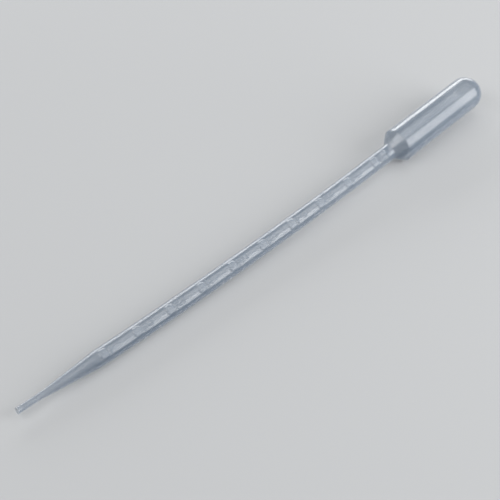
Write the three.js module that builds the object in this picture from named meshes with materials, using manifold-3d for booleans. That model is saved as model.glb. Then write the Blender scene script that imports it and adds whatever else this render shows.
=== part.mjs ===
// A graduated plastic dropper pipette for about 10 ml, blow moulded in one piece from soft,
// milky plastic: an open tip, a long taper, a parallel stem with ten moulded graduations, a
// short shoulder and a squeeze bulb with a round end.
//
// Millimetres, +Z up. The pipette is modelled straight along X, with its marks facing up, then
// bowed as it left its mould, and laid down as it comes to rest: tip at -X, bulb at +X.
import * as THREE from 'three';
import { mergeVertices } from 'three/addons/utils/BufferGeometryUtils.js';
import Module from 'manifold-3d';

// Driving dimensions
const WALL = 0.4;                    // thickness of the blown wall, everywhere
const TIP_DIAMETER = 3.25;           // outside, on the straight part of the tip
const TIP_LENGTH = 12.8;             // cut end to the start of the taper
const LIP_FLARE = 0.25;              // how far the cut end spreads, on the radius
const LIP_LENGTH = 1.5;              // length of that spread end
const CUT_SLANT = 8;                 // degrees off square of the cut end
const TAPER_LENGTH = 32.6;
const STEM_DIAMETER = 8.8;           // outside
const STEM_LENGTH = 195;             // end of the taper to the neck
const SHOULDER_LENGTH = 6;           // neck to the bulb
const BULB_DIAMETER = 18.5;          // outside, at the shoulder
const BULB_END_DIAMETER = 18.2;      // outside, where the round end starts
const BULB_LENGTH = 53.2;            // shoulder to the round end
const EDGE_RADIUS = 0.8;             // rounding of the outside edges at the neck and shoulder
const BOW_RADIUS = 2770;             // the long curve that the stem took on as it cooled
const BOW_SIDE = 205;                // degrees from +Y to +Z: the side that bellies out
const REST_ROLL = 30;                // degrees that the marks turn off the top as it lies

// Graduations: a block, a line and a numeral for each millilitre
const MARK_VOLUME = 1000;            // cubic millimetres between two marks
const FIRST_MARK = 2.3;              // end of the taper to the middle of the first block
const MARK_HEIGHT = 0.36;            // how far the marks stand off the stem
const BLOCK_LENGTH = 4.2;            // along the stem
const BLOCK_WIDTH = 4.3;             // across the stem
const BLOCK_CORNER = 1.2;            // radius of its corners
const LINE_GAP = 1.2;                // block to line, along the stem
const LINE_LENGTH = 0.6;
const LINE_WIDTH = 3.2;
const NUMERAL_GAP = 0.7;             // line to the foot of the numeral
const NUMERAL_HEIGHT = 4.6;          // along the stem
const NUMERAL_WIDTH = 2.2;           // across the stem, for one digit
const DIGIT_GAP = 0.5;               // between the two digits of a numeral
const STROKE = 0.6;                  // width of a numeral's strokes
const MARK_MARGIN = 0.5;             // least distance from a numeral to the neck

// Fineness of the round surfaces
const FACETS = 32;                   // round the pipette
const DOME_STEPS = 7;                // along the round end
const BEND_STEPS = 8;                // along the stem, so that it can follow its bow
const EDGE_STEPS = 2;                // on each rounded edge
const CORNER_STEPS = 1;              // on a block's round corners, doubled by an arc
const STROKE_STEPS = 5;              // on each curved stroke
const SETTLING_ROUNDS = 12;          // to find how the pipette rests

// Sizes that follow
const tipRadius = TIP_DIAMETER / 2;
const stemRadius = STEM_DIAMETER / 2;
const bulbRadius = BULB_DIAMETER / 2;
const domeRadius = BULB_END_DIAMETER / 2;
const taperStart = TIP_LENGTH;
const stemStart = taperStart + TAPER_LENGTH;
const neck = stemStart + STEM_LENGTH;
const bulbStart = neck + SHOULDER_LENGTH;
const domeStart = bulbStart + BULB_LENGTH;
const boreRadius = stemRadius - WALL;
const markPitch = MARK_VOLUME / (Math.PI * boreRadius ** 2);
const lineStart = BLOCK_LENGTH / 2 + LINE_GAP;
const numeralStart = lineStart + LINE_LENGTH + NUMERAL_GAP;
const numeralEnd = numeralStart + NUMERAL_HEIGHT;
const markRoom = STEM_LENGTH - FIRST_MARK - numeralEnd - MARK_MARGIN;
const markCount = Math.min(10, 1 + Math.floor(markRoom / markPitch));

const wasm = await Module();
wasm.setup();

// ---------------------------------------------------------------- solids

// A closed geometry as a solid that can be joined and cut.
function toSolid(geometry) {
  const bare = geometry.clone();
  bare.deleteAttribute('normal');
  bare.deleteAttribute('uv');
  const merged = mergeVertices(bare);
  const index = merged.index.array;
  const triangles = [];
  for (let i = 0; i < index.length; i += 3) {
    const [a, b, c] = [index[i], index[i + 1], index[i + 2]];
    if (a !== b && b !== c && c !== a) triangles.push(a, b, c);
  }
  return new wasm.Manifold(new wasm.Mesh({
    numProp: 3,
    vertProperties: new Float32Array(merged.attributes.position.array),
    triVerts: new Uint32Array(triangles),
  }));
}

// A solid's surface as a geometry.
function toGeometry(solid) {
  const mesh = solid.getMesh();
  const geometry = new THREE.BufferGeometry();
  geometry.setAttribute('position', new THREE.BufferAttribute(mesh.vertProperties, 3));
  geometry.setIndex(new THREE.BufferAttribute(mesh.triVerts, 1));
  return geometry;
}

// An outline of (radius, place along X) points, from axis to axis, turned about the X axis.
// The edge between two facets, at the full radius, meets the surface that the pipette lies on.
function turned(outline) {
  const restAngle = 270 - REST_ROLL;
  const firstEdge = THREE.MathUtils.degToRad(restAngle - 90);
  const geometry = new THREE.LatheGeometry(outline, FACETS, firstEdge);
  return toSolid(geometry.rotateZ(-Math.PI / 2));
}

// ---------------------------------------------------------------- body

// Points of a rounded edge at corner, between the directions to before and after.
function roundedEdge(before, corner, after, radius) {
  const back = before.clone().sub(corner).normalize();
  const ahead = after.clone().sub(corner).normalize();
  const half = back.angleTo(ahead) / 2;
  const reach = radius / Math.tan(half);
  const start = corner.clone().addScaledVector(back, reach);
  const end = corner.clone().addScaledVector(ahead, reach);
  return new THREE.QuadraticBezierCurve(start, corner, end).getPoints(EDGE_STEPS);
}

// The outline of the outside when inset is 0, and of the bore when inset is the wall.
function bodyOutline(inset) {
  const point = (x, radius) => new THREE.Vector2(radius, x);
  const outline = [];
  // The lip runs on past the cut, which trims it.
  const beyondCut = -2 * tipRadius;
  outline.push(point(beyondCut, 0));
  outline.push(point(beyondCut, tipRadius + LIP_FLARE - inset));
  outline.push(point(0, tipRadius + LIP_FLARE - inset));
  outline.push(point(LIP_LENGTH / 2, tipRadius + LIP_FLARE / 4 - inset));
  outline.push(point(LIP_LENGTH, tipRadius - inset));
  outline.push(point(taperStart, tipRadius - inset));
  for (let i = 0; i < BEND_STEPS; i += 1) {
    outline.push(point(stemStart + (STEM_LENGTH * i) / BEND_STEPS, stemRadius - inset));
  }
  // The wall is measured square to the sloping shoulder, so the bore's edges move along it.
  const slope = Math.atan2(bulbRadius - stemRadius, SHOULDER_LENGTH);
  const shift = inset * Math.tan(slope / 2);
  const neckEdge = point(neck + shift, stemRadius - inset);
  const bulbEdge = point(bulbStart + shift, bulbRadius - inset);
  const beforeNeck = point(stemStart, stemRadius - inset);
  const domeEdge = point(domeStart, domeRadius - inset);
  outline.push(...roundedEdge(beforeNeck, neckEdge, bulbEdge, EDGE_RADIUS));
  outline.push(...roundedEdge(neckEdge, bulbEdge, domeEdge, EDGE_RADIUS));
  for (let i = 0; i <= DOME_STEPS; i += 1) {
    const angle = (Math.PI / 2) * (i / DOME_STEPS);
    const radius = i === DOME_STEPS ? 0 : (domeRadius - inset) * Math.cos(angle);
    outline.push(point(domeStart + (domeRadius - inset) * Math.sin(angle), radius));
  }
  return outline;
}

// The block that trims the tip off slightly aslant, through the origin.
function tipCut() {
  const size = 8 * tipRadius;
  const block = new THREE.BoxGeometry(size, size, size).translate(-size / 2, 0, 0);
  // The end stands furthest out on the side that bellies out.
  const side = THREE.MathUtils.degToRad(BOW_SIDE);
  block.rotateZ(THREE.MathUtils.degToRad(CUT_SLANT)).rotateX(side);
  return toSolid(block);
}

// ---------------------------------------------------------------- graduations

// A flat shape, drawn in (along the stem, across it), as an upright prism from the stem's axis.
function prism(shape, curveSegments) {
  const depth = stemRadius + 2 * MARK_HEIGHT;
  return toSolid(new THREE.ExtrudeGeometry(shape, { depth, curveSegments, bevelEnabled: false }));
}

// A rectangle across the stem, its middle at x, with round corners unless their radius is 0.
function roundedRectangle(x, length, width, corner) {
  const shape = new THREE.Shape();
  for (let quarter = 0; quarter < 4; quarter += 1) {
    const alongSign = quarter === 0 || quarter === 3 ? 1 : -1;
    const acrossSign = quarter < 2 ? 1 : -1;
    const along = x + alongSign * (length / 2 - corner);
    const across = acrossSign * (width / 2 - corner);
    const start = (quarter * Math.PI) / 2;
    if (corner > 0) shape.absarc(along, across, corner, start, start + Math.PI / 2);
    else if (quarter === 0) shape.moveTo(along, across);
    else shape.lineTo(along, across);
  }
  return shape;
}

// A stroke of constant width along a path, with square ends.
function stroke(path) {
  const centre = path.getPoints(STROKE_STEPS);
  const left = [];
  const right = [];
  centre.forEach((here, i) => {
    const before = centre[Math.max(i - 1, 0)];
    const after = centre[Math.min(i + 1, centre.length - 1)];
    const along = after.clone().sub(before).normalize();
    const side = new THREE.Vector2(-along.y, along.x).multiplyScalar(STROKE / 2);
    const reach = i === 0 ? -STROKE / 2 : (i === centre.length - 1 ? STROKE / 2 : 0);
    const place = here.clone().addScaledVector(along, reach);
    left.push(place.clone().add(side));
    right.unshift(place.clone().sub(side));
  });
  return new THREE.Shape([...left, ...right]);
}

function line(x0, y0, x1, y1) {
  return stroke(new THREE.LineCurve(new THREE.Vector2(x0, y0), new THREE.Vector2(x1, y1)));
}

// From one point to another, bent towards the point between them.
function bend(x0, y0, throughX, throughY, x1, y1) {
  const points = [[x0, y0], [throughX, throughY], [x1, y1]];
  return stroke(new THREE.QuadraticBezierCurve(...points.map((xy) => new THREE.Vector2(...xy))));
}

// Part of an ellipse, clockwise from one angle to another, in degrees.
function arc(x, y, rx, ry, from, to) {
  const [start, end] = [from, to].map(THREE.MathUtils.degToRad);
  return stroke(new THREE.EllipseCurve(x, y, rx, ry, start, end, true));
}

// A closed stroke along an ellipse.
function ring(x, y, rx, ry) {
  const edge = (outline, offset) => outline.absellipse(x, y, rx + offset, ry + offset, 0, 2 * Math.PI);
  const shape = edge(new THREE.Shape(), STROKE / 2);
  shape.holes.push(edge(new THREE.Path(), -STROKE / 2));
  return shape;
}

// The strokes of each digit, upright in a cell w wide and h high.
const w = NUMERAL_WIDTH - STROKE;
const h = NUMERAL_HEIGHT - STROKE;
const DIGITS = [
  [ring(w / 2, h / 2, w / 2, h / 2)],
  [line(w / 2, 0, w / 2, h), line(0.1 * w, 0.8 * h, w / 2, h)],
  [
    arc(w / 2, 0.75 * h, w / 2, h / 4, 175, -30),
    line(0.93 * w, 0.6 * h, 0, 0),
    line(0, 0, w, 0),
  ],
  [
    arc(w / 2, 0.77 * h, 0.46 * w, 0.23 * h, 165, -85),
    arc(w / 2, 0.27 * h, w / 2, 0.27 * h, 85, -165),
  ],
  [
    line(0.72 * w, 0, 0.72 * w, h),
    line(0.72 * w, h, 0, 0.3 * h),
    line(0, 0.3 * h, w, 0.3 * h),
  ],
  [
    line(w, h, 0.08 * w, h),
    line(0.08 * w, h, 0, 0.55 * h),
    arc(w / 2, 0.31 * h, w / 2, 0.31 * h, 135, -160),
  ],
  [ring(w / 2, 0.3 * h, w / 2, 0.3 * h), bend(0, 0.35 * h, 0.05 * w, 0.85 * h, 0.75 * w, h)],
  [line(0, h, w, h), line(w, h, 0.3 * w, 0)],
  [ring(w / 2, 0.27 * h, w / 2, 0.27 * h), ring(w / 2, 0.77 * h, 0.42 * w, 0.23 * h)],
  [ring(w / 2, 0.7 * h, w / 2, 0.3 * h), bend(w, 0.65 * h, 0.95 * w, 0.15 * h, 0.25 * w, 0)],
];

// A numeral's prisms, standing on the line: its feet towards the tip and its heads to the bulb.
function numeral(value, x) {
  const digits = [...String(value)].map(Number);
  const fullWidth = digits.length * NUMERAL_WIDTH + (digits.length - 1) * DIGIT_GAP;
  return digits.flatMap((digit, place) => {
    const left = -fullWidth / 2 + place * (NUMERAL_WIDTH + DIGIT_GAP) + STROKE / 2;
    // Upright in its cell, a digit turns a quarter to the right, so that up runs along +X.
    return DIGITS[digit].map((shape) => prism(shape, STROKE_STEPS)
      .rotate([0, 0, -90])
      .translate([x + STROKE / 2, -left, 0]));
  });
}

// All the marks: prisms that a slightly fatter stem keeps only near the surface.
function graduations() {
  const prisms = [];
  for (let i = 0; i < markCount; i += 1) {
    const middle = stemStart + FIRST_MARK + i * markPitch;
    const lineMiddle = middle + lineStart + LINE_LENGTH / 2;
    const block = roundedRectangle(middle, BLOCK_LENGTH, BLOCK_WIDTH, BLOCK_CORNER);
    const bar = roundedRectangle(lineMiddle, LINE_LENGTH, LINE_WIDTH, 0);
    prisms.push(prism(block, CORNER_STEPS), prism(bar, CORNER_STEPS));
    prisms.push(...numeral(i + 1, middle + numeralStart));
  }
  const sleeve = turned([
    new THREE.Vector2(0, stemStart),
    new THREE.Vector2(stemRadius + MARK_HEIGHT, stemStart),
    new THREE.Vector2(stemRadius + MARK_HEIGHT, neck),
    new THREE.Vector2(0, neck),
  ]);
  return prisms.reduce((all, each) => all.add(each)).intersect(sleeve);
}

// ---------------------------------------------------------------- bow and rest

// Bows the straight pipette: the tip and stem along a wide arc, the bulb straight on from it.
function bow(geometry) {
  const belly = THREE.MathUtils.degToRad(BOW_SIDE);
  const outward = new THREE.Vector3(0, Math.cos(belly), Math.sin(belly));
  const sideways = new THREE.Vector3(1, 0, 0).cross(outward);
  const position = geometry.attributes.position;
  const point = new THREE.Vector3();
  const middle = neck / 2;
  for (let i = 0; i < position.count; i += 1) {
    point.fromBufferAttribute(position, i);
    const bent = Math.min(point.x, neck) - middle;
    const angle = bent / BOW_RADIUS;
    const straight = Math.max(point.x - neck, 0);
    const off = point.dot(outward);
    const across = point.dot(sideways);
    const along = (BOW_RADIUS + off) * Math.sin(angle) + straight * Math.cos(angle);
    const out = (BOW_RADIUS + off) * Math.cos(angle) - BOW_RADIUS - straight * Math.sin(angle);
    point.set(along, 0, 0).addScaledVector(outward, out).addScaledVector(sideways, across);
    position.setXYZ(i, point.x, point.y, point.z);
  }
  return geometry;
}

// Where the weight of the thin-walled body lies along X: the middle of its surface's area.
function weightPlace(geometry) {
  const [a, b, c] = [new THREE.Vector3(), new THREE.Vector3(), new THREE.Vector3()];
  const { position } = geometry.attributes;
  const { index } = geometry;
  const triangle = new THREE.Triangle(a, b, c);
  let area = 0;
  let moment = 0;
  for (let i = 0; i < index.count; i += 3) {
    [a, b, c].forEach((corner, k) => corner.fromBufferAttribute(position, index.getX(i + k)));
    const share = triangle.getArea();
    area += share;
    moment += (share * (a.x + b.x + c.x)) / 3;
  }
  return moment / area;
}

// Tips the pipette about Y until the stem and the bulb both touch what it lies on. The
// surface under it is found by letting it settle on the lowest point at each side of the
// weight, over and over, until it holds still.
function layDown(geometry) {
  const { position } = geometry.attributes;
  const balance = weightPlace(geometry);
  let slope = 0;
  const lowest = (isHere) => {
    const least = new THREE.Vector2(0, Infinity);
    for (let i = 0; i < position.count; i += 1) {
      const [x, z] = [position.getX(i), position.getZ(i)];
      if (isHere(x) && z - slope * x < least.y - slope * least.x) least.set(x, z);
    }
    return least;
  };
  for (let round = 0; round < SETTLING_ROUNDS; round += 1) {
    const tipSide = lowest((x) => x <= balance);
    const bulbSide = lowest((x) => x > balance);
    slope = (bulbSide.y - tipSide.y) / (bulbSide.x - tipSide.x);
  }
  geometry.rotateY(Math.atan(slope));
  geometry.computeBoundingBox();
  const box = geometry.boundingBox;
  const centre = box.getCenter(new THREE.Vector3());
  return geometry.translate(-centre.x, -centre.y, -box.min.z);
}

// ---------------------------------------------------------------- the pipette

const outside = turned(bodyOutline(0)).add(graduations());
const solid = outside.subtract(turned(bodyOutline(WALL))).subtract(tipCut());
const geometry = bow(toGeometry(solid));
geometry.rotateX(THREE.MathUtils.degToRad(REST_ROLL));
layDown(geometry);
geometry.computeVertexNormals();

const plastic = new THREE.MeshStandardMaterial({
  name: 'milky_plastic',
  color: 0x9fb0bf,
  roughness: 0.35,
  metalness: 0,
});
const pipette = new THREE.Mesh(geometry, plastic);
pipette.name = 'pipette';

const group = new THREE.Group();
group.add(pipette);

export default group;
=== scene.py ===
"""A graduated plastic dropper pipette, blow moulded in one piece from soft, milky plastic.

The outline of its thin wall is spun into a shell, refined under its moulded graduations and
shaped while straight. It is then bowed, as it left its mould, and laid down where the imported
model lies. Metres, +Z up, tip at -X, bulb at +X.
"""

import math
from types import SimpleNamespace

import bmesh
import bpy
import numpy as np
from mathutils import Matrix, Vector


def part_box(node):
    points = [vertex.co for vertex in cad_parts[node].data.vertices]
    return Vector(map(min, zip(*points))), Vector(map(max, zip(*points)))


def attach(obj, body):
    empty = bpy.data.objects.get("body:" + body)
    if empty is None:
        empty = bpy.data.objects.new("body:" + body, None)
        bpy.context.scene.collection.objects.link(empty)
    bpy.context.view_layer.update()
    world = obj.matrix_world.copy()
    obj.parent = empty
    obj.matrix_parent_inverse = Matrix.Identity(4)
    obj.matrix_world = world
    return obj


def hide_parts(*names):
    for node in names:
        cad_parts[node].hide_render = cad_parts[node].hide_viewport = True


bl_info = {
    "name": "Dropper Pipette",
    "version": (1, 0, 0),
    "blender": (4, 5, 0),
    "location": "View3D > Sidebar > Pipette",
    "description": "Models a graduated dropper pipette of soft, milky plastic",
    "category": "Object",
}

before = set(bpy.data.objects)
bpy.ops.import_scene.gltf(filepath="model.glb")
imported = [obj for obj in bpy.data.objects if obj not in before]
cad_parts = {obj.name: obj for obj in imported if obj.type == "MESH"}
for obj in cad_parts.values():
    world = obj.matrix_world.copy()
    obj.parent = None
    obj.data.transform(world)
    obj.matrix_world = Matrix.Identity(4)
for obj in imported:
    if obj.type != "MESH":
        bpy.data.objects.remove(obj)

BODY = "root"                   # what the pipette rides on
NODE = "pipette"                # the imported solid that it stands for
PIECE = "moulded_pipette"
STRAIGHT = "straight_place"     # attribute: where a point was before the pipette was bowed
DEPTH = "extra_depth"           # attribute: how much deeper the plastic is than the wall, in walls
MM = 0.001

# The soft lamps, flat panels that stand along the pipette: the turn from +Y to +Z in degrees,
# start and end along X, width and distance in metres, and power in watts
LAMPS = {
    "front": {"turn": 152, "start": 0.22, "end": 1.3, "width": 0.99, "distance": 1.0, "power": 15.5},
    "top": {"turn": 96, "start": 0.22, "end": 0.84, "width": 0.83, "distance": 1.0, "power": 1.6},
    "side": {"turn": 84, "start": -1.3, "end": -0.5, "width": 1.3, "distance": 1.0, "power": 8.5},
    "back": {"turn": 17, "start": -0.1, "end": 3.0, "width": 0.42, "distance": 1.0, "power": 17.5},
}

# Fineness of the mesh
RING_SPACING = 0.56 * MM        # along the outside of the stem
PLAIN_SPACING = 1.6 * MM        # along the tip, the taper, the bulb and the bore
COLUMN_TURN = math.radians(6)   # round the pipette
SEAM_COLUMN_TURN = math.radians(0.5)
SEAM_SECTOR = math.radians(3)   # what a mould seam takes up, round the pipette
MARK_SECTOR = math.radians(72)  # what the marks take up
MARK_CUTS = 3                   # across each face under the edge of a mark
MARK_REACH = 0.36 * MM          # from the middle of such a face to its corners
CORNER_SEGMENTS = 5
DOME_STEPS = 16
ARC_STEPS = 16                  # along each curved stroke of a numeral
CUT_DEPTH = 4.0                 # of the plastic behind the cut end's face, in walls
MERGE_DISTANCE = 0.0001 * MM
SETTLING_ROUNDS = 12            # to find how the pipette rests

# The plastic's unevenness and its optics
DRAWN_OUT = 0.06                # scale of its patterns along the pipette, against 1 across it
CLOUD_SCALE = 260.0             # of the soft clouds in the milk, per metre
STREAK_SCALE = 1500.0           # of the fine streaks in the surface, per metre
STREAK_DEPTH = 0.05 * MM
UNEVENNESS = 0.4                # how much the clouds change what the wall hides
TINT_SPREAD = 0.12              # how much they change its colour, either way
DEEP_SHARE = 0.25               # of the deep colour, for each wall's worth of extra depth
SLANT_EASE = 0.2                # holds down how deep a wall looks that is seen edge on
GLOSS_RISE = 4                  # how steeply the gloss grows where the surface is seen aslant
FROST_RISE = 4                  # keeps the frost on the tops of the marks


def length(name, description, millimetres):
    """A length, given in millimetres and kept in metres."""
    return bpy.props.FloatProperty(
        name=name, description=description, default=millimetres * MM, min=0.0, precision=5,
        unit="LENGTH",
    )


def angle(name, description, degrees):
    """An angle, given in degrees and kept in radians."""
    return bpy.props.FloatProperty(
        name=name, description=description, default=math.radians(degrees), subtype="ANGLE",
    )


def number(name, description, value):
    """A plain number from 0 to 1."""
    return bpy.props.FloatProperty(
        name=name, description=description, default=value, min=0.0, max=1.0, precision=3,
    )


def colour(name, description, value):
    """A colour without alpha."""
    return bpy.props.FloatVectorProperty(
        name=name, description=description, default=value, min=0.0, max=1.0, size=3,
        subtype="COLOR",
    )


# ---------------------------------------------------------------- what a user can set


class BodySizes(bpy.types.PropertyGroup):
    """The blown body, from its open tip to the round end of its bulb."""

    wall: length("Wall", "Thickness of the blown wall", 0.4)
    tip_diameter: length("Tip diameter", "Outside, on the straight part of the tip", 3.25)
    tip_length: length("Tip length", "Cut end to the start of the taper", 12.8)
    lip_flare: length("Lip flare", "How far the cut end spreads, on the radius", 0.25)
    lip_length: length("Lip length", "Length of that spread end", 1.5)
    lip_round: length("Lip rounding", "Radius of the cut end's corners", 0.1)
    cut_slant: angle("Cut slant", "How far the cut end is off square", 8.0)
    taper_length: length("Taper length", "End of the tip to the parallel stem", 32.6)
    taper_round: length("Taper rounding", "Radius of the bends at its ends", 30.0)
    stem_diameter: length("Stem diameter", "Outside", 8.8)
    stem_length: length("Stem length", "End of the taper to the neck", 195.0)
    shoulder_length: length("Shoulder length", "Neck to the bulb", 6.0)
    bulb_diameter: length("Bulb diameter", "Outside, at the shoulder", 18.5)
    bulb_end_diameter: length("Bulb end diameter", "Outside, where its round end starts", 18.2)
    bulb_length: length("Bulb length", "Shoulder to the round end", 53.2)
    edge_radius: length("Edge radius", "Rounding of the neck and the shoulder", 0.8)
    seam_width: length("Seam width", "Of the fine ridge where the mould's halves met", 0.22)
    seam_height: length("Seam height", "How far that ridge stands off the wall", 0.05)
    bow_radius: length("Bow radius", "The long curve that the stem took on", 2770.0)
    bow_side: angle("Bow side", "From +Y to +Z: the side that bellies out", 205.0)
    rest_roll: angle("Rest roll", "How far the marks turn off the top as it lies", 30.0)


class MarkSizes(bpy.types.PropertyGroup):
    """The moulded graduations: a block, a line and a numeral for each millilitre."""

    volume: bpy.props.FloatProperty(
        name="Volume", description="What the stem holds between two marks", default=1e-6,
        unit="VOLUME",
    )
    most: bpy.props.IntProperty(name="Most", description="Most marks to mould", default=10)
    first: length("First", "End of the taper to the middle of the first block", 2.3)
    height: length("Height", "How far the marks stand off the stem", 0.36)
    slope: length("Slope", "Width of the sloping edge round each mark", 0.8)
    block_length: length("Block length", "Along the stem", 4.2)
    block_width: length("Block width", "Across the stem", 4.3)
    block_corner: length("Block corner", "Radius of its corners", 1.2)
    line_gap: length("Line gap", "Block to line, along the stem", 1.2)
    line_length: length("Line length", "Along the stem", 0.6)
    line_width: length("Line width", "Across the stem", 3.2)
    numeral_gap: length("Numeral gap", "Line to the foot of the numeral", 0.7)
    numeral_height: length("Numeral height", "Along the stem", 4.6)
    numeral_width: length("Numeral width", "Across the stem, for one digit", 2.2)
    digit_gap: length("Digit gap", "Between the two digits of a numeral", 0.5)
    stroke: length("Stroke", "Width of a numeral's strokes", 0.6)
    margin: length("Margin", "Least distance from a numeral to the neck", 0.5)


class PlasticLook(bpy.types.PropertyGroup):
    """The finish of the milky plastic."""

    milk: colour("Milk", "The wall's own colour", (0.13, 0.19, 0.27))
    deep_milk: colour("Deep milk", "The colour of thicker plastic", (0.62, 0.66, 0.70))
    clouding: number("Clouding", "How much each face of the wall hides, head on", 0.23)
    gloss: number("Gloss", "How much each face of the wall mirrors, head on", 0.04)
    roughness: number("Roughness", "Of the smooth, glossy plastic", 0.18)
    haze: number("Haze", "Added roughness where the surface is hazy", 0.10)
    frost: number("Frost", "Added roughness on top of the marks", 0.35)


class StudioLook(bpy.types.PropertyGroup):
    """The floor, the lamps and the camera."""

    floor_size: length("Floor size", "Side of the square floor", 16000.0)
    fade_start: length("Fade start", "How far off the floor starts to fade", 240.0)
    fade_end: length("Fade end", "How far off only the backdrop shows", 700.0)
    floor_colour: colour("Floor colour", "Plain and pale", (0.52, 0.53, 0.54))
    backdrop_colour: colour("Backdrop colour", "The lit floor's tone", (0.59, 0.60, 0.61))
    sky: number("Sky", "Strength of the even light from all round", 0.35)
    distance: length("Camera distance", "From the point that it looks at", 740.0)
    azimuth: angle("Azimuth", "Where the camera stands round the pipette", -42.92)
    elevation: angle("Elevation", "How high the camera stands", 47.144)
    aim: bpy.props.FloatVectorProperty(
        name="Aim", description="What the camera looks at, from the middle of the pipette's box",
        default=(-11.67 * MM, 0.0, -5.17 * MM), size=3, subtype="TRANSLATION", unit="LENGTH",
    )
    lens: bpy.props.FloatProperty(
        name="Lens", description="Focal length in millimetres", default=108.93, min=10.0,
    )


class PipetteSettings(bpy.types.PropertyGroup):
    """All that a user can set."""

    body: bpy.props.PointerProperty(type=BodySizes)
    marks: bpy.props.PointerProperty(type=MarkSizes)
    plastic: bpy.props.PointerProperty(type=PlasticLook)
    studio: bpy.props.PointerProperty(type=StudioLook)


# ---------------------------------------------------------------- the wall's outline


def places_along(body, marks):
    """The places along the straight pipette, from its cut end, that follow from its sizes."""
    stem_start = body.tip_length + body.taper_length
    neck = stem_start + body.stem_length
    bulb_start = neck + body.shoulder_length
    dome_start = bulb_start + body.bulb_length
    bore_radius = body.stem_diameter / 2 - body.wall
    pitch = marks.volume / (math.pi * bore_radius**2)
    line_start = marks.block_length / 2 + marks.line_gap
    numeral_start = line_start + marks.line_length + marks.numeral_gap
    numeral_end = numeral_start + marks.numeral_height
    room = body.stem_length - marks.first - numeral_end - marks.margin
    count = min(marks.most, 1 + int(room / pitch))
    return SimpleNamespace(
        stem_start=stem_start,
        neck=neck,
        bulb_start=bulb_start,
        dome_start=dome_start,
        line_middle=line_start + marks.line_length / 2,
        numeral_start=numeral_start,
        numeral_end=numeral_end,
        blocks=[stem_start + marks.first + i * pitch for i in range(count)],
    )


def round_corner(bm, corner, radius):
    """Rounds a corner of a chain of edges."""
    ways = [edge.other_vert(corner).co - corner.co for edge in corner.link_edges]
    reach = radius / math.tan(ways[0].angle(ways[1]) / 2)
    bmesh.ops.bevel(
        bm, geom=[corner], offset=reach, offset_type="OFFSET", segments=CORNER_SEGMENTS,
        profile=0.5, affect="VERTICES", material=-1,
    )


def add_outline(bm, body, places, inset):
    """Adds the outline of the outside, or of the bore when inset is the wall. Returns its corner
    at the cut end."""
    tip = body.tip_diameter / 2 - inset
    stem = body.stem_diameter / 2 - inset
    bulb = body.bulb_diameter / 2 - inset
    dome = body.bulb_end_diameter / 2 - inset
    # The wall is measured square to the sloping shoulder, so the bore's corners move along it.
    shift = inset * math.tan(math.atan2(bulb - stem, body.shoulder_length) / 2)
    corners = [
        (0, tip + body.lip_flare, 0),
        (body.lip_length / 2, tip + body.lip_flare / 4, 0),
        (body.lip_length, tip, 0),
        (body.tip_length, tip, body.taper_round),
        (places.stem_start, stem, body.taper_round),
        (places.neck + shift, stem, body.edge_radius),
        (places.bulb_start + shift, bulb, body.edge_radius),
        (places.dome_start, dome, 0),
    ]
    chain = [bm.verts.new((x, 0, radius)) for x, radius, _ in corners]
    for start, end in zip(chain, chain[1:]):
        bm.edges.new((start, end))
    for corner, (_, _, rounding) in zip(chain, corners):
        if rounding:
            round_corner(bm, corner, rounding)
    spun = bmesh.ops.spin(
        bm, geom=[chain[-1]], cent=(places.dome_start, 0, 0), axis=(0, 1, 0),
        angle=math.pi / 2, steps=DOME_STEPS,
    )
    for pole in spun["geom_last"]:
        pole.co = (places.dome_start + dome, 0, 0)
    return chain[0]


def add_rings(bm, spacing):
    """Cuts each edge of the outline so that none is longer than the spacing that it should have."""
    for edge in bm.edges[:]:
        cuts = math.ceil(edge.calc_length() / spacing(edge)) - 1
        if cuts > 0:
            bmesh.ops.subdivide_edges(bm, edges=[edge], cuts=cuts)


# ---------------------------------------------------------------- the shell


def column_sectors():
    """(angle, columns) of each sector round the pipette, from the edge of the marks."""

    def plain(turn):
        return turn, math.ceil(turn / COLUMN_TURN)

    seam = (SEAM_SECTOR, round(SEAM_SECTOR / SEAM_COLUMN_TURN))
    beside = plain((math.pi - MARK_SECTOR - SEAM_SECTOR) / 2)
    return [plain(MARK_SECTOR), beside, seam, plain(math.pi - SEAM_SECTOR), seam, beside]


def spin_shell(bm, sectors):
    """Spins the outline about the X axis, with the middle of the first sector at the top."""
    bmesh.ops.rotate(
        bm, verts=bm.verts, cent=(0, 0, 0), matrix=Matrix.Rotation(-sectors[0][0] / 2, 3, "X"),
    )
    outline = bm.verts[:] + bm.edges[:]
    for turn, steps in sectors:
        spun = bmesh.ops.spin(
            bm, geom=outline, cent=(0, 0, 0), axis=(1, 0, 0), angle=turn, steps=steps,
        )
        outline = spun["geom_last"]
    bmesh.ops.remove_doubles(bm, verts=bm.verts, dist=MERGE_DISTANCE)
    bmesh.ops.recalc_face_normals(bm, faces=bm.faces)


def refine_under_marks(bm, body, marks, places):
    """Cuts up the faces that the edges of the marks slope across."""
    least_height = body.stem_diameter / 2 * math.cos(MARK_SECTOR / 2)
    top_faces = [
        face for face in bm.faces
        if face.normal.z > 0 and face.calc_center_median().z > least_height
        and places.stem_start - marks.block_length < face.calc_center_median().x < places.neck
    ]
    middles = np.array([face.calc_center_median() for face in top_faces])
    near = np.abs(mark_gap(middles[:, :2], marks, places)) < marks.slope / 2 + MARK_REACH
    edges = {edge for face, sloping in zip(top_faces, near) if sloping for edge in face.edges}
    bmesh.ops.subdivide_edges(bm, edges=list(edges), cuts=MARK_CUTS, use_grid_fill=True)
    # The faces beside them were left with corners in a row along their edges.
    beside = [face for face in bm.faces if len(face.verts) > 4]
    bmesh.ops.triangulate(bm, faces=beside, quad_method="BEAUTY", ngon_method="BEAUTY")


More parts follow.
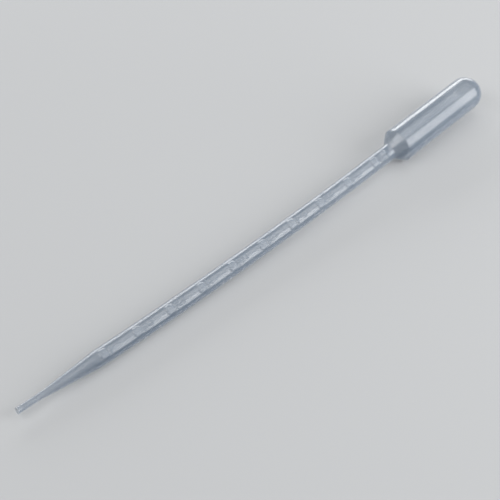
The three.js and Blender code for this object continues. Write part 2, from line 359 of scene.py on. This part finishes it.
def build_shell(body, marks, places):
    """The straight pipette's thin wall as a closed mesh, without its marks."""
    bm = bmesh.new()
    outer_lip = add_outline(bm, body, places, 0)
    inner_lip = add_outline(bm, body, places, body.wall)
    bm.edges.new((outer_lip, inner_lip))
    round_corner(bm, outer_lip, body.lip_round)
    round_corner(bm, inner_lip, body.lip_round)

    def spacing(edge):
        middle = (edge.verts[0].co + edge.verts[1].co) / 2
        outside = middle.z > body.stem_diameter / 2 - body.wall / 2
        on_stem = places.stem_start < middle.x < places.neck
        return RING_SPACING if outside and on_stem else PLAIN_SPACING

    add_rings(bm, spacing)
    spin_shell(bm, column_sectors())
    refine_under_marks(bm, body, marks, places)
    mesh = bpy.data.meshes.new(PIECE)
    bm.to_mesh(mesh)
    bm.free()
    return mesh


# ---------------------------------------------------------------- graduations


def line(x0, y0, x1, y1):
    """A straight stroke's centre line."""
    return np.array([(x0, y0), (x1, y1)])


def arc(x, y, rx, ry, start, end):
    """A stroke's centre line along part of an ellipse, between two angles in degrees."""
    turn = np.radians(np.linspace(start, end, ARC_STEPS + 1))
    return np.column_stack((x + rx * np.cos(turn), y + ry * np.sin(turn)))


def ring(x, y, rx, ry):
    """A closed stroke's centre line."""
    return arc(x, y, rx, ry, 0, 360)


def bend(x0, y0, through_x, through_y, x1, y1):
    """A stroke's centre line that bends towards a point on its way."""
    part = np.linspace(0, 1, ARC_STEPS + 1)[:, None]
    start, through, end = np.array([(x0, y0), (through_x, through_y), (x1, y1)])
    return (1 - part) ** 2 * start + 2 * part * (1 - part) * through + part**2 * end


def digit_strokes(digit, w, h):
    """The centre lines of a digit's strokes, upright in a cell w wide and h high."""
    return {
        0: [ring(w / 2, h / 2, w / 2, h / 2)],
        1: [line(w / 2, 0, w / 2, h), line(0.1 * w, 0.8 * h, w / 2, h)],
        2: [
            arc(w / 2, 0.75 * h, w / 2, h / 4, 175, -30),
            line(0.93 * w, 0.6 * h, 0, 0),
            line(0, 0, w, 0),
        ],
        3: [
            arc(w / 2, 0.77 * h, 0.46 * w, 0.23 * h, 165, -85),
            arc(w / 2, 0.27 * h, w / 2, 0.27 * h, 85, -165),
        ],
        4: [
            line(0.72 * w, 0, 0.72 * w, h),
            line(0.72 * w, h, 0, 0.3 * h),
            line(0, 0.3 * h, w, 0.3 * h),
        ],
        5: [
            line(w, h, 0.08 * w, h),
            line(0.08 * w, h, 0, 0.55 * h),
            arc(w / 2, 0.31 * h, w / 2, 0.31 * h, 135, -160),
        ],
        6: [
            ring(w / 2, 0.3 * h, w / 2, 0.3 * h),
            bend(0, 0.35 * h, 0.05 * w, 0.85 * h, 0.75 * w, h),
        ],
        7: [line(0, h, w, h), line(w, h, 0.3 * w, 0)],
        8: [
            ring(w / 2, 0.27 * h, w / 2, 0.27 * h),
            ring(w / 2, 0.77 * h, 0.42 * w, 0.23 * h),
        ],
        9: [
            ring(w / 2, 0.7 * h, w / 2, 0.3 * h),
            bend(w, 0.65 * h, 0.95 * w, 0.15 * h, 0.25 * w, 0),
        ],
    }[digit]


def distance_to_strokes(spots, strokes):
    """How far each spot is from the nearest centre line."""
    nearest = np.full(len(spots), np.inf)
    for path in strokes:
        for start, end in zip(path, path[1:]):
            way = end - start
            part = np.clip((spots - start) @ way / (way @ way), 0, 1)
            gap = np.linalg.norm(spots - start - part[:, None] * way, axis=1)
            nearest = np.minimum(nearest, gap)
    return nearest


def distance_to_rectangle(spots, size_x, size_y, corner):
    """How far each spot is outside a rectangle with round corners, below 0 inside it."""
    beyond = np.abs(spots) - np.array((size_x, size_y)) / 2 + corner
    outside = np.linalg.norm(np.maximum(beyond, 0), axis=1)
    return outside + np.minimum(beyond.max(axis=1), 0) - corner


def sloping_step(distance, slope):
    """1 inside an outline and 0 outside it, with a straight slope over its edge."""
    return np.clip(0.5 - distance / slope, 0, 1)


def numeral_distance(spots, value, marks):
    """How far each spot is outside a numeral, which starts at x = 0 and runs up along +X."""
    digits = [int(digit) for digit in str(value)]
    full_width = len(digits) * marks.numeral_width + (len(digits) - 1) * marks.digit_gap
    cell = (marks.numeral_width - marks.stroke, marks.numeral_height - marks.stroke)
    nearest = np.full(len(spots), np.inf)
    for place, digit in enumerate(digits):
        left = place * (marks.numeral_width + marks.digit_gap) - full_width / 2
        corner = np.array((left, 0)) + marks.stroke / 2
        upright = np.column_stack((-spots[:, 1], spots[:, 0])) - corner
        gap = distance_to_strokes(upright, digit_strokes(digit, *cell))
        nearest = np.minimum(nearest, gap)
    return nearest - marks.stroke / 2


def mark_gap(spots, marks, places):
    """How far each (along, across) spot is outside the nearest mark, below 0 inside it."""
    nearest = np.full(len(spots), np.inf)
    before = marks.block_length
    after = places.numeral_end + marks.slope
    for count, block in enumerate(places.blocks, start=1):
        near = np.flatnonzero((spots[:, 0] > block - before) & (spots[:, 0] < block + after))
        here = spots[near] - (block, 0)
        block_gap = distance_to_rectangle(
            here, marks.block_length, marks.block_width, marks.block_corner
        )
        line_gap = distance_to_rectangle(
            here - (places.line_middle, 0), marks.line_length, marks.line_width,
            marks.line_length / 2,
        )
        numeral_gap = numeral_distance(here - (places.numeral_start, 0), count, marks)
        nearest[near] = np.minimum(block_gap, np.minimum(line_gap, numeral_gap))
    return nearest


# ---------------------------------------------------------------- shaping and laying down


def shape_straight(points, normals, body, marks, places):
    """The straight shell's points with its marks, its mould seams and its slanting cut, and how
    much deeper than the wall the plastic is at each."""
    radius = np.linalg.norm(points[:, 1:], axis=1)
    way = points[:, 1:] / np.maximum(radius, MERGE_DISTANCE)[:, None]
    outside = np.einsum("ij,ij->i", normals[:, 1:], way) > 0

    in_sector = way[:, 1] > math.cos(MARK_SECTOR / 2 + COLUMN_TURN)
    on_stem = (points[:, 0] > places.stem_start - marks.block_length) & (points[:, 0] < places.neck)
    marked = np.flatnonzero(in_sector & on_stem & outside)
    relief = np.zeros(len(points))
    gap = mark_gap(points[marked][:, :2], marks, places)
    relief[marked] = marks.height * sloping_step(gap, marks.slope)

    off_seam = np.abs(np.arctan2(np.abs(way[:, 1]), np.abs(way[:, 0])))
    half_width = np.minimum(body.seam_width / 2, radius * SEAM_SECTOR / 2)
    rise = np.clip(1 - off_seam * radius / half_width.clip(MERGE_DISTANCE), 0, 1)
    seam = outside * body.seam_height * rise * rise * (half_width / (body.seam_width / 2))

    shaped = np.column_stack((points[:, 0], way * (radius + relief + seam)[:, None]))
    belly = np.array((math.cos(body.bow_side), math.sin(body.bow_side)))
    near_cut = np.clip(1 - points[:, 0] / body.lip_length, 0, 1)
    shaped[:, 0] -= math.tan(body.cut_slant) * (shaped[:, 1:] @ belly) * near_cut
    on_cut = np.clip(1 - points[:, 0] / body.lip_round, 0, 1)
    return shaped, relief / body.wall + CUT_DEPTH * on_cut


def bowed(points, body, places):
    """Points of the straight pipette, bowed: the tip and stem along an arc, the bulb straight on."""
    outward = np.array((0, math.cos(body.bow_side), math.sin(body.bow_side)))
    sideways = np.cross((1, 0, 0), outward)
    turn = (np.minimum(points[:, 0], places.neck) - places.neck / 2) / body.bow_radius
    straight = np.maximum(points[:, 0] - places.neck, 0)
    reach = body.bow_radius + points @ outward
    along = reach * np.sin(turn) + straight * np.cos(turn)
    out = reach * np.cos(turn) - body.bow_radius - straight * np.sin(turn)
    across = points @ sideways
    return np.outer(along, (1, 0, 0)) + np.outer(out, outward) + np.outer(across, sideways)


def resting_slope(points, balance):
    """The slope, along X, of the surface that the pipette comes to lie on: it settles on the
    lowest point at each side of its weight, over and over, until it holds still."""
    slope = 0.0
    tip_side = points[points[:, 0] <= balance]
    bulb_side = points[points[:, 0] > balance]
    for _ in range(SETTLING_ROUNDS):
        low, high = [
            side[np.argmin(side[:, 2] - slope * side[:, 0])] for side in (tip_side, bulb_side)
        ]
        slope = (high[2] - low[2]) / (high[0] - low[0])
    return slope


def set_points(mesh, points):
    """Gives a mesh's vertices new places."""
    mesh.vertices.foreach_set("co", points.astype(np.float32).ravel())
    mesh.update()


def get_points(mesh):
    """The places of a mesh's vertices."""
    points = np.empty(len(mesh.vertices) * 3, np.float32)
    mesh.vertices.foreach_get("co", points)
    return points.reshape(-1, 3).astype(float)


def weight_place(mesh):
    """Where the weight of a thin-walled body lies along X: the middle of its faces' area."""
    areas = np.array([face.area for face in mesh.polygons])
    centres = np.array([face.center.x for face in mesh.polygons])
    return float(areas @ centres / areas.sum())


def lay_down(mesh, body):
    """Rolls the bowed pipette to its rest, tips it until it lies, and moves it to its packed place."""
    mesh.transform(Matrix.Rotation(body.rest_roll, 4, "X"))
    slope = resting_slope(get_points(mesh), weight_place(mesh))
    mesh.transform(Matrix.Rotation(math.atan(slope), 4, "Y"))
    points = get_points(mesh)
    low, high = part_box(NODE)
    middle = (points.min(axis=0) + points.max(axis=0)) / 2
    packed = (low + high) / 2
    shift = Vector((packed.x - middle[0], packed.y - middle[1], low.z - points[:, 2].min()))
    mesh.transform(Matrix.Translation(shift))


# ---------------------------------------------------------------- shader nodes


class Value:
    """A node's output that changes over a surface. Arithmetic on it adds Math nodes."""

    def __init__(self, finish, socket):
        self.finish = finish
        self.socket = socket

    def maths(self, operation, *values):
        """A Math node on these values or numbers."""
        inputs = dict(enumerate(values))
        return self.finish.node("ShaderNodeMath", {"operation": operation}, inputs)

    def __add__(self, other):
        return self.maths("ADD", self, other)

    __radd__ = __add__

    def __sub__(self, other):
        return self.maths("SUBTRACT", self, other)

    def __rsub__(self, other):
        return self.maths("SUBTRACT", other, self)

    def __mul__(self, other):
        return self.maths("MULTIPLY", self, other)

    __rmul__ = __mul__

    def __pow__(self, other):
        return self.maths("POWER", self, other)

    def __rpow__(self, other):
        return self.maths("POWER", other, self)

    def at_most(self, most):
        """This value, or most where it is higher."""
        return self.maths("MINIMUM", self, most)


class Finish:
    """The nodes of a material or of the world."""

    def __init__(self, owner):
        owner.use_nodes = True
        self.tree = owner.node_tree
        self.tree.nodes.clear()

    def node(self, kind, settings, inputs, output=0):
        """Adds a node, its settings first, then a value or a link for each input. Returns one
        of its outputs."""
        node = self.tree.nodes.new(kind)
        for name, setting in settings.items():
            setattr(node, name, setting)
        for name, value in inputs.items():
            if isinstance(value, Value):
                self.tree.links.new(value.socket, node.inputs[name])
            else:
                node.inputs[name].default_value = value
        return None if output is None else Value(self, node.outputs[output])

    def noise(self, place, scale, detail):
        """Smooth noise around 0.5, at a place that a Mapping node has stretched."""
        inputs = {"Vector": place, "Scale": scale, "Detail": detail}
        return self.node("ShaderNodeTexNoise", {}, inputs, "Fac")

    def mixed(self, factor, first, second):
        """Two colours, mixed."""
        # A Mix node's sockets share their names, so its factor and colours go by number.
        inputs = {0: factor, 6: first, 7: second}
        return self.node("ShaderNodeMix", {"data_type": "RGBA"}, inputs, 2)

    def seen(self):
        """1 where this is seen, directly or mirrored, 0 where it only sheds light."""
        camera, glossy, through = (
            self.node("ShaderNodeLightPath", {}, {}, f"Is {kind} Ray")
            for kind in ("Camera", "Glossy", "Transmission")
        )
        return (camera + glossy + through).at_most(1)


def milky_plastic(look):
    """Soft plastic that hides more of what is behind it the more aslant its wall is seen, under a
    glossy skin that mirrors more there too."""
    plastic = bpy.data.materials.new("milky_plastic")
    finish = Finish(plastic)
    place = finish.node("ShaderNodeAttribute", {"attribute_name": STRAIGHT}, {}, "Vector")
    drawn = finish.node(
        "ShaderNodeMapping", {}, {"Vector": place, "Scale": (DRAWN_OUT, 1.0, 1.0)}, "Vector"
    )
    clouds = finish.noise(drawn, CLOUD_SCALE, 3.0)
    streaks = finish.noise(drawn, STREAK_SCALE, 2.0)
    relief = {"Strength": 0.15, "Distance": STREAK_DEPTH, "Height": streaks}
    bump = finish.node("ShaderNodeBump", {}, relief, "Normal")
    aslant = finish.node("ShaderNodeLayerWeight", {}, {"Blend": 0.5}, "Facing")
    across = 1 - aslant
    way_through = (SLANT_EASE + (1 - SLANT_EASE) * across * across) ** -0.5
    extra = finish.node("ShaderNodeAttribute", {"attribute_name": DEPTH}, {}, "Fac")
    uneven = 1 - UNEVENNESS / 2 + UNEVENNESS * clouds
    depth = look.clouding * uneven * (1 + extra) * way_through
    milk = Vector(look.milk)
    darker, paler = milk * (1 - TINT_SPREAD), milk * (1 + TINT_SPREAD)
    thin = finish.mixed(clouds, (*darker, 1), (*paler, 1))
    frost = look.frost * (extra**FROST_RISE).at_most(1)
    body = finish.node(
        "ShaderNodeBsdfPrincipled",
        {},
        {
            "Base Color": finish.mixed(DEEP_SHARE * extra, thin, (*look.deep_milk, 1)),
            "Roughness": 0.6,
            "Alpha": 1 - math.e ** (-1 * depth),
            "IOR": 1.51,
            "Specular IOR Level": 0.0,
            "Sheen Weight": 0.7,
            "Sheen Roughness": 0.22,
            "Normal": bump,
        },
        "BSDF",
    )
    skin = finish.node(
        "ShaderNodeBsdfAnisotropic",
        {},
        {
            "Color": (1.0, 1.0, 1.0, 1.0),
            "Roughness": look.roughness + look.haze * clouds + frost,
            "Normal": bump,
        },
        "BSDF",
    )
    mirrored = look.gloss + (1 - look.gloss) * aslant**GLOSS_RISE
    shader = finish.node("ShaderNodeMixShader", {}, {0: mirrored, 1: body, 2: skin})
    finish.node("ShaderNodeOutputMaterial", {}, {"Surface": shader}, None)
    return plastic


def plain_floor(look):
    """A plain, matt floor that fades into the backdrop away from the pipette."""
    floor = bpy.data.materials.new("floor")
    finish = Finish(floor)
    place = finish.node("ShaderNodeTexCoord", {}, {}, "Object")
    away = finish.node("ShaderNodeVectorMath", {"operation": "LENGTH"}, {0: place}, "Value")
    faded = finish.node(
        "ShaderNodeMapRange",
        {"interpolation_type": "SMOOTHSTEP"},
        {"Value": away, "From Min": look.fade_start, "From Max": look.fade_end},
        "Result",
    )
    matt = finish.node(
        "ShaderNodeBsdfPrincipled",
        {},
        {"Base Color": (*look.floor_colour, 1), "Roughness": 0.9, "Specular IOR Level": 0.1},
        "BSDF",
    )
    nothing = finish.node("ShaderNodeBsdfTransparent", {}, {})
    share = finish.seen() * faded
    shader = finish.node("ShaderNodeMixShader", {}, {0: share, 1: matt, 2: nothing})
    finish.node("ShaderNodeOutputMaterial", {}, {"Surface": shader}, None)
    return floor


# ---------------------------------------------------------------- pieces and stage


def add_object(name, mesh):
    """Puts a mesh in the scene."""
    made = bpy.data.objects.new(name, mesh)
    bpy.context.scene.collection.objects.link(made)
    return made


def keep_for_finish(mesh, straight, extra_depth):
    """Keeps what the plastic's finish reads: where each point of the straight pipette was, and
    how much deeper than the wall the plastic is there."""
    places = mesh.attributes.new(STRAIGHT, "FLOAT_VECTOR", "POINT")
    places.data.foreach_set("vector", straight.astype(np.float32).ravel())
    depths = mesh.attributes.new(DEPTH, "FLOAT", "POINT")
    depths.data.foreach_set("value", extra_depth.astype(np.float32))


class PIPETTE_OT_add_pipette(bpy.types.Operator):
    """Adds the pipette, its wall and marks as one moulded piece"""

    bl_idname = "pipette.add_pipette"
    bl_label = "Add Pipette"
    bl_options = {"REGISTER", "UNDO"}

    def execute(self, context):
        settings = context.scene.pipette_settings
        body, marks = settings.body, settings.marks
        places = places_along(body, marks)
        mesh = build_shell(body, marks, places)
        normals = np.array([vertex.normal for vertex in mesh.vertices])
        straight, extra_depth = shape_straight(get_points(mesh), normals, body, marks, places)
        keep_for_finish(mesh, straight, extra_depth)
        set_points(mesh, bowed(straight, body, places))
        lay_down(mesh, body)
        mesh.shade_smooth()
        mesh.materials.append(milky_plastic(settings.plastic))
        piece = add_object(PIECE, mesh)
        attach(piece, BODY)
        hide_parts(NODE)
        return {"FINISHED"}


def add_floor(look):
    """A square floor that the pipette lies on."""
    bm = bmesh.new()
    bmesh.ops.create_grid(bm, x_segments=1, y_segments=1, size=look.floor_size / 2)
    mesh = bpy.data.meshes.new("floor")
    bm.to_mesh(mesh)
    bm.free()
    mesh.materials.append(plain_floor(look))
    add_object("floor", mesh)


def add_lamp(name, target, turn, start, end, width, distance, power):
    """A soft lamp: a flat panel that runs along X and faces the line through the target."""
    lamp = bpy.data.lights.new(name, "AREA")
    lamp.shape = "RECTANGLE"
    lamp.size = end - start
    lamp.size_y = width
    lamp.energy = power
    turned = bpy.data.objects.new(name, lamp)
    out = Vector((0, math.cos(math.radians(turn)), math.sin(math.radians(turn))))
    turned.location = target + out * distance + Vector(((start + end) / 2, 0, 0))
    turned.rotation_euler = (math.radians(turn - 90), 0, 0)
    bpy.context.scene.collection.objects.link(turned)


def direction(azimuth, elevation):
    """From the object towards a place round it: azimuth 0 lies towards -Y, 90 degrees towards +X."""
    level = math.cos(elevation)
    return Vector((math.sin(azimuth) * level, -math.cos(azimuth) * level, math.sin(elevation)))


def add_camera(look, target):
    """The camera, at its distance from what it looks at."""
    lens = bpy.data.cameras.new("camera")
    lens.lens = look.lens
    lens.clip_start = 0.01
    camera = bpy.data.objects.new("camera", lens)
    back = direction(look.azimuth, look.elevation)
    camera.location = target + back * look.distance
    camera.rotation_mode = "QUATERNION"
    camera.rotation_quaternion = back.to_track_quat("Z", "Y")
    bpy.context.scene.collection.objects.link(camera)
    bpy.context.scene.camera = camera


def light_world(look):
    """Even light from all round, and a plain backdrop."""
    world = bpy.data.worlds.new("studio")
    finish = Finish(world)
    light = finish.node(
        "ShaderNodeBackground", {}, {"Color": (1.0, 1.0, 1.0, 1.0), "Strength": look.sky}
    )
    backdrop = finish.node("ShaderNodeBackground", {}, {"Color": (*look.backdrop_colour, 1)})
    seen = finish.seen()
    shader = finish.node("ShaderNodeMixShader", {}, {0: seen, 1: light, 2: backdrop})
    finish.node("ShaderNodeOutputWorld", {}, {"Surface": shader}, None)
    bpy.context.scene.world = world


class PIPETTE_OT_add_stage(bpy.types.Operator):
    """Adds the floor, the lamps and the camera"""

    bl_idname = "pipette.add_stage"
    bl_label = "Add Stage"
    bl_options = {"REGISTER", "UNDO"}

    def execute(self, context):
        look = context.scene.pipette_settings.studio
        low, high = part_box(NODE)
        middle = (low + high) / 2
        add_floor(look)
        light_world(look)
        for name, lamp in LAMPS.items():
            add_lamp(name, middle, **lamp)
        add_camera(look, middle + Vector(look.aim))
        context.scene.view_settings.view_transform = "Standard"
        return {"FINISHED"}


class PIPETTE_PT_panel(bpy.types.Panel):
    """Lists the operators and what they read"""

    bl_idname = "PIPETTE_PT_panel"
    bl_label = "Dropper Pipette"
    bl_space_type = "VIEW_3D"
    bl_region_type = "UI"
    bl_category = "Pipette"

    def draw(self, context):
        settings = context.scene.pipette_settings
        for operator, groups in (
            (PIPETTE_OT_add_pipette, (settings.body, settings.marks, settings.plastic)),
            (PIPETTE_OT_add_stage, (settings.studio,)),
        ):
            box = self.layout.box()
            for group in groups:
                for name in group.bl_rna.properties.keys():
                    if name not in ("rna_type", "name"):
                        box.prop(group, name)
            box.operator(operator.bl_idname)


CLASSES = (
    BodySizes,
    MarkSizes,
    PlasticLook,
    StudioLook,
    PipetteSettings,
    PIPETTE_OT_add_pipette,
    PIPETTE_OT_add_stage,
    PIPETTE_PT_panel,
)


def register():
    """Registers the classes and gives each scene its settings."""
    for each in CLASSES:
        bpy.utils.register_class(each)
    bpy.types.Scene.pipette_settings = bpy.props.PointerProperty(type=PipetteSettings)


def unregister():
    """Takes the settings and the classes away again."""
    del bpy.types.Scene.pipette_settings
    for each in reversed(CLASSES):
        bpy.utils.unregister_class(each)


def main():
    """Models the pipette and its stage."""
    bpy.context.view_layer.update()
    register()
    bpy.ops.pipette.add_pipette()
    bpy.ops.pipette.add_stage()


if __name__ == "__main__":
    main()
